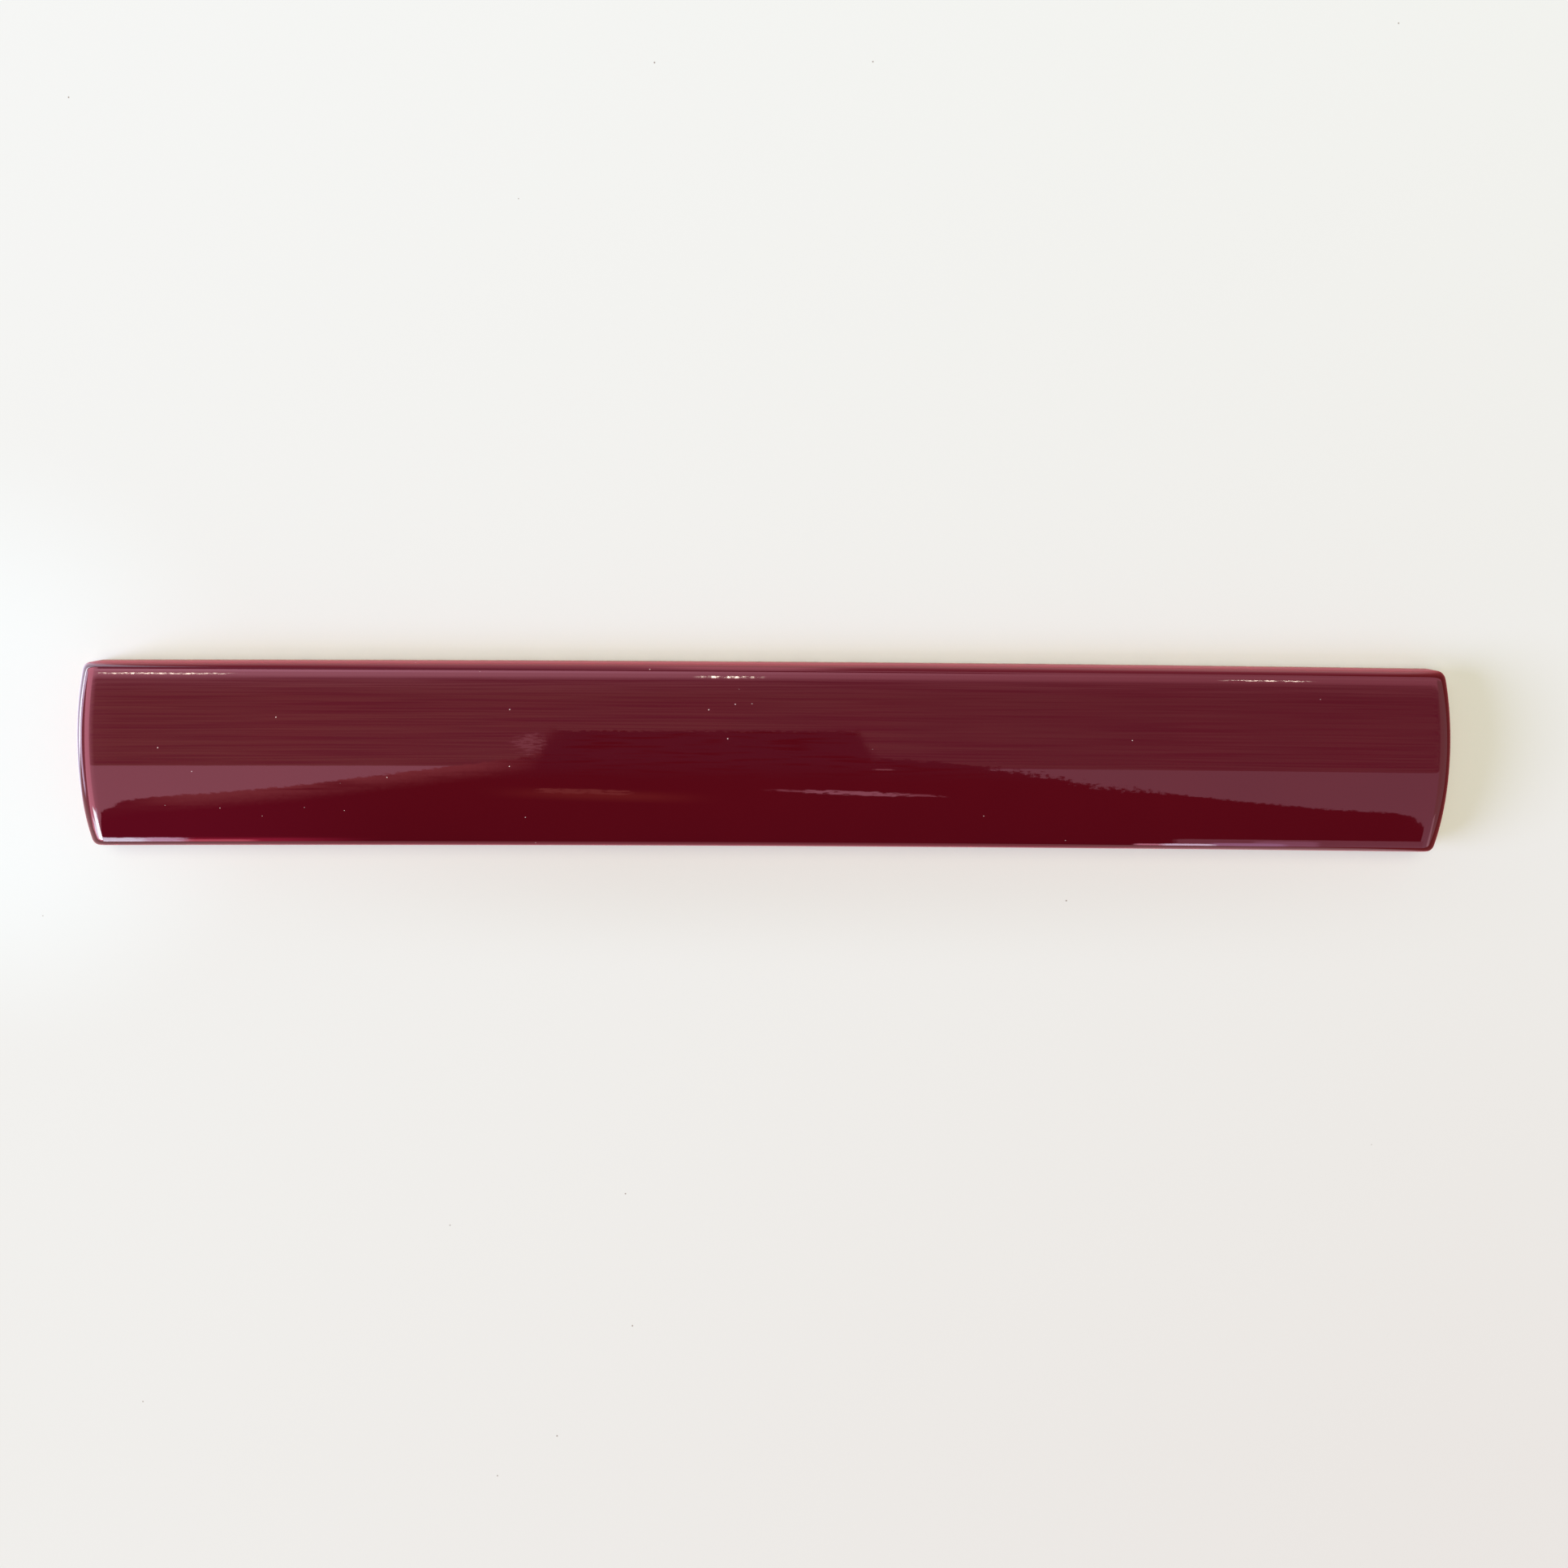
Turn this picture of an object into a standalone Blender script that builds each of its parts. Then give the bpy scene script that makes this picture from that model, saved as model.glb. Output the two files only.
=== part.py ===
"""Glazed ceramic border tile: a narrow wall trim with a domed face, pressed and fired as one piece.

Metres, +Z up. The tile lies on its bare back, with its length along X and its width along Y.
The origin is the centre of the back, in the plane that the tile rests on.
"""

import math

import bmesh
import bpy

MM = 0.001

# Overall size
LENGTH = 150.0 * MM
WIDTH = 20.3 * MM
THICKNESS = 8.0 * MM  # from the back up to the crown

# Domed face and its rounded edges
CROWN_RADIUS = 19.4 * MM  # of the arc that the face follows across the width
LONG_ARRIS_RADIUS = 2.3 * MM  # where the face turns down into a long side
LEAST_ARRIS_RADIUS = 0.3 * MM  # what is left of the long arris where it reaches the end
END_ARRIS_RADIUS = 2.0 * MM  # where the face turns down into an end
CORNER_RADIUS = 1.0 * MM  # of the four upright corners, seen from above

# Bare back, grooved so that the adhesive keys into it
FOOT_CHAMFER = 0.4 * MM
EDGE_LAND = 2.8 * MM  # from a long side to the nearest groove
KEY_COUNT = 4
KEY_MOUTH = 1.8 * MM
KEY_FLOOR = 1.2 * MM
KEY_DEPTH = 0.6 * MM

# Fineness of the curves
CROWN_STEPS = 10  # on each side of the crown
ARRIS_STEPS = 8
END_STEPS_ABOVE_FOOT = 6
END_STEPS_AT_FOOT = 5
SMOOTH_BELOW = math.radians(30)

# Finishes
GLAZE_COLOUR = (0.090, 0.003, 0.006, 1.0)
GLAZE_ROUGHNESS = 0.06
BISCUIT_COLOUR = (0.56, 0.43, 0.33, 1.0)
BISCUIT_ROUGHNESS = 0.90


def clear_scene():
    for obj in list(bpy.data.objects):
        bpy.data.objects.remove(obj)


def make_material(name, colour, roughness):
    material = bpy.data.materials.new(name)
    material.use_nodes = True
    shader = material.node_tree.nodes["Principled BSDF"]
    shader.inputs["Base Color"].default_value = colour
    shader.inputs["Roughness"].default_value = roughness
    shader.inputs["Metallic"].default_value = 0.0
    return material


def arc(centre, radius, start, end, steps):
    """Points of an arc as (y, z), from angle start to angle end, both ends included."""
    points = []
    for i in range(steps + 1):
        angle = start + (end - start) * i / steps
        points.append((centre[0] + radius * math.cos(angle), centre[1] + radius * math.sin(angle)))
    return points


def quarter_round(radius, setback):
    """How far a rounded edge of this radius has drawn in at this distance from the end."""
    reach = max(0.0, radius - setback)
    return radius - math.sqrt(radius**2 - reach**2)


def half_face(drop, inset):
    """The face from the top of the +Y side up to the crown, as (y, z).

    The arris is tangent to the upright side and to the crown arc. Towards the end of the tile, drop lowers
    the crown arc along its normals, inset moves the side inwards, and the arris tightens between them.
    """
    crown_centre = THICKNESS - CROWN_RADIUS
    arris = max(LONG_ARRIS_RADIUS - max(drop, inset), LEAST_ARRIS_RADIUS)
    arris_y = WIDTH / 2 - inset - arris
    between_centres = CROWN_RADIUS - drop - arris
    arris_z = crown_centre + math.sqrt(between_centres**2 - arris_y**2)
    meeting = math.acos(arris_y / between_centres)
    face = arc((arris_y, arris_z), arris, 0.0, meeting, ARRIS_STEPS)
    return face + arc((0.0, crown_centre), CROWN_RADIUS - drop, meeting, math.pi / 2, CROWN_STEPS)[1:]


def back_line(inset, lift):
    """The back from its -Y foot to its +Y foot, with the key grooves, as (y, z).

    Where lift raises the lands towards the end, the groove floors stay at their depth.
    """
    foot_y = WIDTH / 2 - inset - FOOT_CHAMFER
    outermost = WIDTH / 2 - EDGE_LAND - KEY_MOUTH / 2
    floor = KEY_FLOOR / 2
    mouth = floor + (KEY_MOUTH / 2 - floor) * (1 - lift / KEY_DEPTH)
    line = [(-foot_y, lift)]
    for i in range(KEY_COUNT):
        y = outermost * (2 * i / (KEY_COUNT - 1) - 1)
        line += [(y - mouth, lift), (y - floor, KEY_DEPTH), (y + floor, KEY_DEPTH), (y + mouth, lift)]
    line.append((foot_y, lift))
    return line


def section(setback):
    """The outline across the tile at this distance from its end, as (back line, glazed line)."""
    inset = quarter_round(CORNER_RADIUS, setback)
    lift = max(0.0, FOOT_CHAMFER - setback)
    right = [(WIDTH / 2 - inset, lift + FOOT_CHAMFER)]
    right += half_face(quarter_round(END_ARRIS_RADIUS, setback), inset)
    left = [(-y, z) for y, z in reversed(right[:-1])]
    return back_line(inset, lift), right + left


def end_setbacks():
    """Distances from the end at which the outline is drawn, outermost first. One is where the foot starts."""
    reach = max(END_ARRIS_RADIUS, CORNER_RADIUS)
    foot_angle = math.asin(1 - FOOT_CHAMFER / reach)
    angles = []
    for i in range(END_STEPS_AT_FOOT):
        angles.append(math.pi / 2 + (foot_angle - math.pi / 2) * i / END_STEPS_AT_FOOT)
    for i in range(END_STEPS_ABOVE_FOOT + 1):
        angles.append(foot_angle * (1 - i / END_STEPS_ABOVE_FOOT))
    return [reach * (1 - math.sin(angle)) for angle in angles]


def build_tile(glaze, biscuit):
    """Lofts the outline from end to end, in bare clay along the back and in glaze elsewhere."""
    bm = bmesh.new()
    setbacks = end_setbacks()
    stations = [(setback - LENGTH / 2, setback) for setback in setbacks]
    stations += [(LENGTH / 2 - setback, setback) for setback in reversed(setbacks)]
    rings = []
    for x, setback in stations:
        back, face = section(setback)
        rings.append([bm.verts.new((x, y, z)) for y, z in back + face])

    bare_strips = len(back_line(0.0, 0.0)) - 1
    for ring, following in zip(rings, rings[1:]):
        for i, vert in enumerate(ring):
            after = (i + 1) % len(ring)
            strip = bm.faces.new((vert, ring[after], following[after], following[i]))
            strip.material_index = 1 if i < bare_strips else 0
    bm.faces.new(reversed(rings[0]))
    bm.faces.new(rings[-1])
    bmesh.ops.recalc_face_normals(bm, faces=bm.faces)

    mesh = bpy.data.meshes.new("border_tile")
    bm.to_mesh(mesh)
    bm.free()
    mesh.materials.append(glaze)
    mesh.materials.append(biscuit)
    mesh.shade_smooth()
    mesh.set_sharp_from_angle(angle=SMOOTH_BELOW)
    tile = bpy.data.objects.new("border_tile", mesh)
    bpy.context.scene.collection.objects.link(tile)


def main():
    clear_scene()
    glaze = make_material("burgundy_glaze", GLAZE_COLOUR, GLAZE_ROUGHNESS)
    biscuit = make_material("bare_biscuit", BISCUIT_COLOUR, BISCUIT_ROUGHNESS)
    build_tile(glaze, biscuit)


main()
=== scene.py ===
# %% [markdown]
# Glazed border tile, dressed for its photograph.
#
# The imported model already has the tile's true sizes. This lesson makes the surface that is looked at: a
# fine mesh of the same moulded form, a deep burgundy glaze over fired clay, and the pale table, lamps and
# cards around it. Everything is in metres, with +Z up, and the tile lies on its bare back at the origin.

# %% Load the frame
import math

import bpy
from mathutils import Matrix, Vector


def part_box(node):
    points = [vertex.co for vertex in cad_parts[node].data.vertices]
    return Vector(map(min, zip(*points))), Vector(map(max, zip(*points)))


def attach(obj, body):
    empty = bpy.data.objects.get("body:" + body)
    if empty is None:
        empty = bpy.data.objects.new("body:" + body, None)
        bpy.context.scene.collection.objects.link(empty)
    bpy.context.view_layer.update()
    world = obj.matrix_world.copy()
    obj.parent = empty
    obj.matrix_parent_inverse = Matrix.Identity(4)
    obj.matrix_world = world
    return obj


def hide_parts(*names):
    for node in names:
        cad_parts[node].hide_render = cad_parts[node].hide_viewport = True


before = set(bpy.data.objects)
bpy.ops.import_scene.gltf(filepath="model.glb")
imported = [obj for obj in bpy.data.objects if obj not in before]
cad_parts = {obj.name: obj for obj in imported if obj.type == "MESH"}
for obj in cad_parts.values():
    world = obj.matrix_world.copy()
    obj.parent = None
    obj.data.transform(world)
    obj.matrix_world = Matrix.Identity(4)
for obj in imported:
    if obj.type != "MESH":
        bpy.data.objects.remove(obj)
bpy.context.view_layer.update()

MM = 0.001
print("frame nodes:", sorted(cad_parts))

# %% [markdown]
# Node trees are easier to read as formulas than as long lists of nodes and links. A Wire is one output of
# a node, and each + - * / between wires adds one Math node. The helpers below work in Geometry Nodes and
# in shaders alike.

# %% Wires
class Wire:
    """One output socket, which can be used in formulas."""

    def __init__(self, tree, socket):
        self.tree = tree
        self.socket = socket

    def math(self, operation, *others):
        node = self.tree.nodes.new("ShaderNodeMath")
        node.operation = operation
        for socket, value in zip(node.inputs, (self, *others)):
            plug(self.tree, value, socket)
        return Wire(self.tree, node.outputs[0])

    def __add__(self, other):
        return self.math("ADD", other)

    def __radd__(self, other):
        return self.math("ADD", other)

    def __sub__(self, other):
        return self.math("SUBTRACT", other)

    def __rsub__(self, other):
        return self.math("MULTIPLY", -1.0).math("ADD", other)

    def __mul__(self, other):
        return self.math("MULTIPLY", other)

    def __rmul__(self, other):
        return self.math("MULTIPLY", other)

    def __truediv__(self, other):
        return self.math("DIVIDE", other)


def plug(tree, value, socket):
    """Links a wire to a socket, or sets the socket to a plain value."""
    if isinstance(value, Wire):
        tree.links.new(value.socket, socket)
    else:
        socket.default_value = value


def add_node(tree, kind, inputs=None, **settings):
    """Adds a node, sets its settings, and plugs values or wires into its inputs by name or number."""
    node = tree.nodes.new(kind)
    for name, value in settings.items():
        setattr(node, name, value)
    for name, value in (inputs or {}).items():
        plug(tree, value, node.inputs[name])
    return node


def wire(tree, kind, output=0, inputs=None, **settings):
    """Adds a node and gives one of its outputs as a wire."""
    node = add_node(tree, kind, inputs, **settings)
    return Wire(tree, node.outputs[output])


print("wires ready")

# %% [markdown]
# A few words that the formulas share: a soft step, a band between two edges, and a colour laid over another.

# %% Small formulas
def vector(tree, x, y, z):
    return wire(tree, "ShaderNodeCombineXYZ", inputs={0: x, 1: y, 2: z})


def split(tree, whole):
    node = add_node(tree, "ShaderNodeSeparateXYZ", {0: whole})
    return [Wire(tree, socket) for socket in node.outputs]


def squared(value):
    return value * value


def clamped(value, low, high):
    return value.math("MAXIMUM", low).math("MINIMUM", high)


def chosen(test, yes, no):
    """yes where test is 1, no where test is 0."""
    return no + test * (yes - no)


def step_up(value, low, high):
    """0 below low, 1 above high, and a soft step between them."""
    ends = {"Value": value, "From Min": low, "From Max": high}
    return wire(value.tree, "ShaderNodeMapRange", 0, ends, interpolation_type="SMOOTHSTEP")


def band(value, low, high, soft):
    """1 between low and high, with edges that are soft over the given width."""
    rise = step_up(value, low - soft / 2, low + soft / 2)
    fall = step_up(value, high - soft / 2, high + soft / 2)
    return rise * (1 - fall)


def laid_over(under, over, mask):
    """The colour over, laid on the colour under as far as mask says."""
    tree = mask.tree
    node = add_node(tree, "ShaderNodeMix", data_type="RGBA")
    for number, value in ((0, mask), (6, under), (7, over)):
        plug(tree, value, node.inputs[number])
    return Wire(tree, node.outputs[2])


print("formulas ready")

# %% [markdown]
# The moulding. The real tile is pressed in a die, so one rule gives its whole form: a section across the
# tile, and how that section draws in towards the ends. A tube of points, numbered along and around, is
# placed by this rule. Geometry Nodes suit it well, since every size stays an input, and the points can
# crowd where the form is tight.

# %% Sizes of the moulding
tile_low, tile_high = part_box("border_tile")
LENGTH = tile_high.x - tile_low.x
WIDTH = tile_high.y - tile_low.y
THICKNESS = tile_high.z - tile_low.z

MOULDING = {
    "Length": LENGTH,
    "Width": WIDTH,
    "Thickness": THICKNESS,
    "Crown radius": 19.4 * MM,
    "Long arris": 2.3 * MM,
    "Least arris": 0.3 * MM,
    "End arris": 2.0 * MM,
    "Corner radius": 1.0 * MM,
    "Foot chamfer": 0.4 * MM,
    "Edge land": 2.8 * MM,
    "Key mouth": 1.8 * MM,
    "Key floor": 1.2 * MM,
    "Key depth": 0.6 * MM,
    "Plan bow": 0.29 * MM,
    "Glaze bead": 0.08 * MM,
    "Ripple height": 0.003 * MM,
    "Ripple size": 3.5 * MM,
    "Seed": 7.0,
}
STATIONS = 331
END_STATIONS = 14
SIDE_STEPS = 5
ARRIS_STEPS = 22
CROWN_STEPS = 28
KEY_COUNT = 4
KEY_POINTS = 12
HALF_FACE = SIDE_STEPS + ARRIS_STEPS + CROWN_STEPS
FACE_POINTS = 2 * HALF_FACE + 1
BACK_POINTS = KEY_COUNT * KEY_POINTS + 2
print(f"tile {LENGTH / MM:.1f} x {WIDTH / MM:.1f} x {THICKNESS / MM:.1f} mm")
print("points round it:", FACE_POINTS + BACK_POINTS)

# %% [markdown]
# Inputs come first. Each size becomes a named socket, and the two materials come in the same way.

# %% The tree and its inputs
moulding = bpy.data.node_groups.new("Tile moulding", "GeometryNodeTree")
for name in MOULDING:
    moulding.interface.new_socket(name=name, in_out="INPUT", socket_type="NodeSocketFloat")
for name in ("Glaze", "Biscuit"):
    moulding.interface.new_socket(name=name, in_out="INPUT", socket_type="NodeSocketMaterial")
moulding.interface.new_socket(name="Geometry", in_out="OUTPUT", socket_type="NodeSocketGeometry")
group_input = moulding.nodes.new("NodeGroupInput")
group_output = moulding.nodes.new("NodeGroupOutput")
size = {socket.name: Wire(moulding, socket) for socket in group_input.outputs if socket.name}
print("moulding inputs:", len(size))

# %% [markdown]
# The tube. A straight path gives the stations along the tile and a circle the points around it. Both keep
# their numbers, captured before the sweep, because the rule that follows asks only for these two numbers.

# %% A numbered tube
def numbered(tree, curve, title):
    """A curve whose point numbers are kept for later, as (curve, numbers)."""
    capture = tree.nodes.new("GeometryNodeCaptureAttribute")
    capture.capture_items.new("FLOAT", title)
    plug(tree, curve, capture.inputs["Geometry"])
    plug(tree, wire(tree, "GeometryNodeInputIndex"), capture.inputs[title])
    return Wire(tree, capture.outputs["Geometry"]), Wire(tree, capture.outputs[title])


line = wire(moulding, "GeometryNodeCurvePrimitiveLine", inputs={"End": (1.0, 0.0, 0.0)})
path = wire(moulding, "GeometryNodeResampleCurve", inputs={"Curve": line, "Count": STATIONS})
ring = wire(moulding, "GeometryNodeCurvePrimitiveCircle", inputs={"Resolution": FACE_POINTS + BACK_POINTS})
path, station = numbered(moulding, path, "Station")
ring, around = numbered(moulding, ring, "Around")
tube_inputs = {"Curve": path, "Profile Curve": ring, "Fill Caps": True}
tube = wire(moulding, "GeometryNodeCurveToMesh", inputs=tube_inputs)
print("tube of", STATIONS, "by", FACE_POINTS + BACK_POINTS, "points")

# %% [markdown]
# Along the tile. Stations crowd into the last two millimetres, at even angles round the end's quarter
# circle, and are evenly spread between. The setback is a station's distance from its own end.

# %% Stations along the tile
last = STATIONS - 1
from_end = station.math("MINIMUM", last - station)
toward_right = station.math("GREATER_THAN", last / 2) * 2 - 1
end_angle = (from_end / END_STATIONS).math("MINIMUM", 1.0) * (math.pi / 2)
spacing = (size["Length"] - size["End arris"] * 2) / (last - 2 * END_STATIONS)
setback = size["End arris"] * (1 - end_angle.math("COSINE"))
setback = setback + (from_end - END_STATIONS).math("MAXIMUM", 0.0) * spacing
along = toward_right * (size["Length"] / 2 - setback)


def quarter_round(radius):
    """How far an edge rounded to this radius has drawn in at the setback."""
    reach = (radius - setback).math("MAXIMUM", 0.0)
    return radius - (squared(radius) - squared(reach)).math("MAXIMUM", 0.0).math("SQRT")


drop = quarter_round(size["End arris"])
inset = quarter_round(size["Corner radius"])
lift = (size["Foot chamfer"] - setback).math("MAXIMUM", 0.0)
print("stations placed")

# %% [markdown]
# Across the face. The crown is an arc, each long arris a smaller arc tangent to it and to the upright
# side. From the foot up to the crown a point passes the side, then the arris, then the crown, so each
# stretch has its own share from 0 to 1, and the three moves simply add up. The other half of the face is
# the mirror image.

# %% The domed face
arris = (size["Long arris"] - drop.math("MAXIMUM", inset)).math("MAXIMUM", size["Least arris"])
arris_y = size["Width"] / 2 - inset - arris
crown_radius = size["Crown radius"] - drop
between = crown_radius - arris
arris_z = size["Thickness"] - size["Crown radius"] + (squared(between) - squared(arris_y)).math("SQRT")
meeting = (arris_y / between).math("ARCCOSINE")
foot_z = lift + size["Foot chamfer"]

from_crown = (around - HALF_FACE).math("ABSOLUTE")
half = (HALF_FACE - from_crown).math("MAXIMUM", 0.0)
side_share = clamped(half / SIDE_STEPS, 0.0, 1.0)
arris_share = clamped((half - SIDE_STEPS) / ARRIS_STEPS, 0.0, 1.0)
crown_share = clamped((half - SIDE_STEPS - ARRIS_STEPS) / CROWN_STEPS, 0.0, 1.0)
arris_angle = arris_share * meeting
crown_angle = meeting + crown_share * (math.pi / 2 - meeting)

half_y = size["Width"] / 2 - inset + arris * (arris_angle.math("COSINE") - 1)
half_y = half_y + crown_radius * (crown_angle.math("COSINE") - meeting.math("COSINE"))
face_z = foot_z + side_share * (arris_z - foot_z) + arris * arris_angle.math("SINE")
face_z = face_z + crown_radius * (crown_angle.math("SINE") - meeting.math("SINE"))
print("face rule ready")

# %% [markdown]
# The glaze bead. Molten glaze creeps down the crown and gathers on the long edges, less than a tenth of a
# millimetre thick, so the mirror images there sit a little further out than on a true arc. The tile was
# fired slightly tipped: the bead is full along the front edge, and along the back edge it thins out
# towards the right.

# %% The glaze bead
to_left = clamped(0.5 - along / size["Length"], 0.0, 1.0)
is_rear = around.math("LESS_THAN", HALF_FACE)
bead_here = chosen(is_rear, squared(squared(to_left)), 1.0)
bead_shape = squared(arris_share * (1 - arris_share) * 4) * (arris / size["Long arris"])
bead = size["Glaze bead"] * bead_here * bead_shape
half_y = half_y + bead * arris_angle.math("COSINE")
face_z = face_z + bead * arris_angle.math("SINE")
face_y = half_y * (HALF_FACE - around).math("SIGN")
print("bead ready")

# %% [markdown]
# The bare back. Its grooves key the adhesive. Each groove is the same row of points about its own centre,
# and its walls follow a smooth step, as pressed clay doesn't hold a sharp corner.

# %% The grooved back
back_number = around - FACE_POINTS
key_number = ((back_number - 1) / KEY_POINTS).math("FLOOR")
key_place = back_number - 1 - key_number * KEY_POINTS
outermost = size["Width"] / 2 - size["Edge land"] - size["Key mouth"] / 2
key_centre = outermost * (key_number * (2 / (KEY_COUNT - 1)) - 1)
wall_share = key_place.math("MINIMUM", KEY_POINTS - 1 - key_place) / (KEY_POINTS / 2 - 1)
key_reach = (size["Key mouth"] + wall_share * (size["Key floor"] - size["Key mouth"])) / 2
key_y = key_centre + key_reach * (key_place - (KEY_POINTS - 1) / 2).math("SIGN")
key_z = size["Key depth"] * squared(wall_share) * (3 - wall_share * 2)

is_foot = (back_number - (BACK_POINTS - 1) / 2).math("ABSOLUTE").math("GREATER_THAN", (BACK_POINTS - 2) / 2)
foot_y = (size["Width"] / 2 - inset - size["Foot chamfer"]) * (back_number - 1).math("SIGN")
back_y = chosen(is_foot, foot_y, key_y)
back_z = chosen(is_foot, 0.0, key_z).math("MAXIMUM", lift)
is_back = around.math("GREATER_THAN", FACE_POINTS - 0.5)
print("back rule ready")

# %% [markdown]
# Placing the points. Firing bows the long tile very slightly in plan, and the glaze dries into a faint
# ripple. The ripple is a noise of a few thousandths of a millimetre, which only the mirror images in the
# glaze give away.

# %% Place and ripple
bow = size["Plan bow"] * (1 - squared(along / size["Length"] * 2))
place = vector(moulding, along, chosen(is_back, back_y, face_y) + bow, chosen(is_back, back_z, face_z))
formed = wire(moulding, "GeometryNodeSetPosition", inputs={"Geometry": tube, "Position": place})

ripple_inputs = {"W": size["Seed"], "Scale": size["Ripple size"].math("POWER", -1.0), "Detail": 1.0}
ripple = wire(moulding, "ShaderNodeTexNoise", 0, ripple_inputs, noise_dimensions="4D")
ripple = (ripple - 0.5) * size["Ripple height"] * (1 - is_back)
normal = wire(moulding, "GeometryNodeInputNormal")
push = add_node(moulding, "ShaderNodeVectorMath", {0: normal}, operation="SCALE")
plug(moulding, ripple, push.inputs["Scale"])
rippled_inputs = {"Geometry": formed, "Offset": Wire(moulding, push.outputs[0])}
rippled = wire(moulding, "GeometryNodeSetPosition", inputs=rippled_inputs)
print("points placed")

# %% [markdown]
# Finishing the mesh. The glaze will want to know how upright the surface stands, so that is kept as an
# attribute. Edges that turn by more than 30 degrees stay sharp, and the back takes the bare clay.

# %% Attribute, shading and materials
SHARP_ANGLE = math.radians(30)

_, _, facing_up = split(moulding, normal)
upright = 1 - facing_up.math("MAXIMUM", 0.0)
stored_inputs = {"Geometry": rippled, "Name": "upright", "Value": upright}
on_points = {"data_type": "FLOAT", "domain": "POINT"}
stored = wire(moulding, "GeometryNodeStoreNamedAttribute", inputs=stored_inputs, **on_points)

smooth = wire(moulding, "GeometryNodeSetShadeSmooth", inputs={"Geometry": stored}, domain="FACE")
edge_angle = wire(moulding, "GeometryNodeInputMeshEdgeAngle")
is_sharp = edge_angle.math("GREATER_THAN", SHARP_ANGLE)
crease_inputs = {"Geometry": smooth, "Selection": is_sharp, "Shade Smooth": False}
creased = wire(moulding, "GeometryNodeSetShadeSmooth", inputs=crease_inputs, domain="EDGE")
realized = wire(moulding, "GeometryNodeRealizeInstances", inputs={"Geometry": creased})
glazed = wire(moulding, "GeometryNodeSetMaterial", inputs={"Geometry": realized, "Material": size["Glaze"]})
bare_inputs = {"Geometry": glazed, "Selection": is_back, "Material": size["Biscuit"]}
plug(moulding, wire(moulding, "GeometryNodeSetMaterial", inputs=bare_inputs), group_output.inputs["Geometry"])
print("moulding tree has", len(moulding.nodes), "nodes")

# %% [markdown]
# Fired clay shows twice: all over the back, and as a thin wiped band where the glaze stops above the
# foot. So it is a node group, built once. Its grog is a coarse noise in the colour, and its grain a fine
# one in the height.

# %% Group: fired clay
CLAY_PALE = (0.62, 0.47, 0.36, 1.0)
CLAY_DARK = (0.44, 0.31, 0.22, 1.0)
GROG_FINENESS = 0.3
GROG_EDGES = (0.35, 0.65)


def new_group(name, inputs, outputs):
    """A shader node group, as (group, its inputs as wires, its output node)."""
    group = bpy.data.node_groups.new(name, "ShaderNodeTree")
    for title, kind, value in inputs:
        socket = group.interface.new_socket(name=title, in_out="INPUT", socket_type=kind)
        if value is not None:
            socket.default_value = value
    for title, kind in outputs:
        group.interface.new_socket(name=title, in_out="OUTPUT", socket_type=kind)
    start = group.nodes.new("NodeGroupInput")
    wires = {socket.name: Wire(group, socket) for socket in start.outputs if socket.name}
    return group, wires, group.nodes.new("NodeGroupOutput")


clay_sockets = [("Vector", "NodeSocketVector", None), ("Grain size", "NodeSocketFloat", 0.25 * MM)]
clay_results = [("Color", "NodeSocketColor"), ("Height", "NodeSocketFloat")]
fired_clay, given, result = new_group("Fired clay", clay_sockets, clay_results)
fineness = given["Grain size"].math("POWER", -1.0)
grog_inputs = {"Vector": given["Vector"], "Scale": fineness * GROG_FINENESS, "Detail": 5.0}
grog = wire(fired_clay, "ShaderNodeTexNoise", 0, grog_inputs)
grain_inputs = {"Vector": given["Vector"], "Scale": fineness, "Detail": 4.0}
grain = wire(fired_clay, "ShaderNodeTexNoise", 0, grain_inputs)
clay_colour = laid_over(CLAY_PALE, CLAY_DARK, step_up(grog, *GROG_EDGES))
plug(fired_clay, clay_colour, result.inputs["Color"])
plug(fired_clay, grain, result.inputs["Height"])
print("fired clay group:", len(fired_clay.nodes), "nodes")

# %% [markdown]
# Pinholes are tiny round pits with a pale rim, left by gas that escaped in the kiln. They are far apart on
# both the glaze and the clay. A sparse Voronoi pattern gives them: its cells are much larger than its
# dots, and a dot shows only where a cell's point happens to lie in the surface. A dot is full out to a
# share of its radius, and fades from there.

# %% Group: pinholes
FULL_SHARE = 0.6
hole_sockets = [
    ("Vector", "NodeSocketVector", None),
    ("Spacing", "NodeSocketFloat", 3.2 * MM),
    ("Radius", "NodeSocketFloat", 0.08 * MM),
]
pinholes, given, result = new_group("Pinholes", hole_sockets, [("Mask", "NodeSocketFloat")])
hole_inputs = {"Vector": given["Vector"], "Scale": given["Spacing"].math("POWER", -1.0)}
cell_distance = wire(pinholes, "ShaderNodeTexVoronoi", "Distance", hole_inputs) * given["Spacing"]
hole_mask = 1 - step_up(cell_distance, given["Radius"] * FULL_SHARE, given["Radius"])
plug(pinholes, hole_mask, result.inputs["Mask"])
print("pinholes group:", len(pinholes.nodes), "nodes")

# %% [markdown]
# The glaze. It is deep crimson where it lies thick on the crown, and it breaks to a lighter, pinker red
# where it runs thin over the edges. It stops a little above the foot, on a line that wanders, where the
# maker wiped it off so that the tile wouldn't stick to the kiln shelf. The masks below say how thin the
# glaze is, and whether it covers the clay at all.

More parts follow.
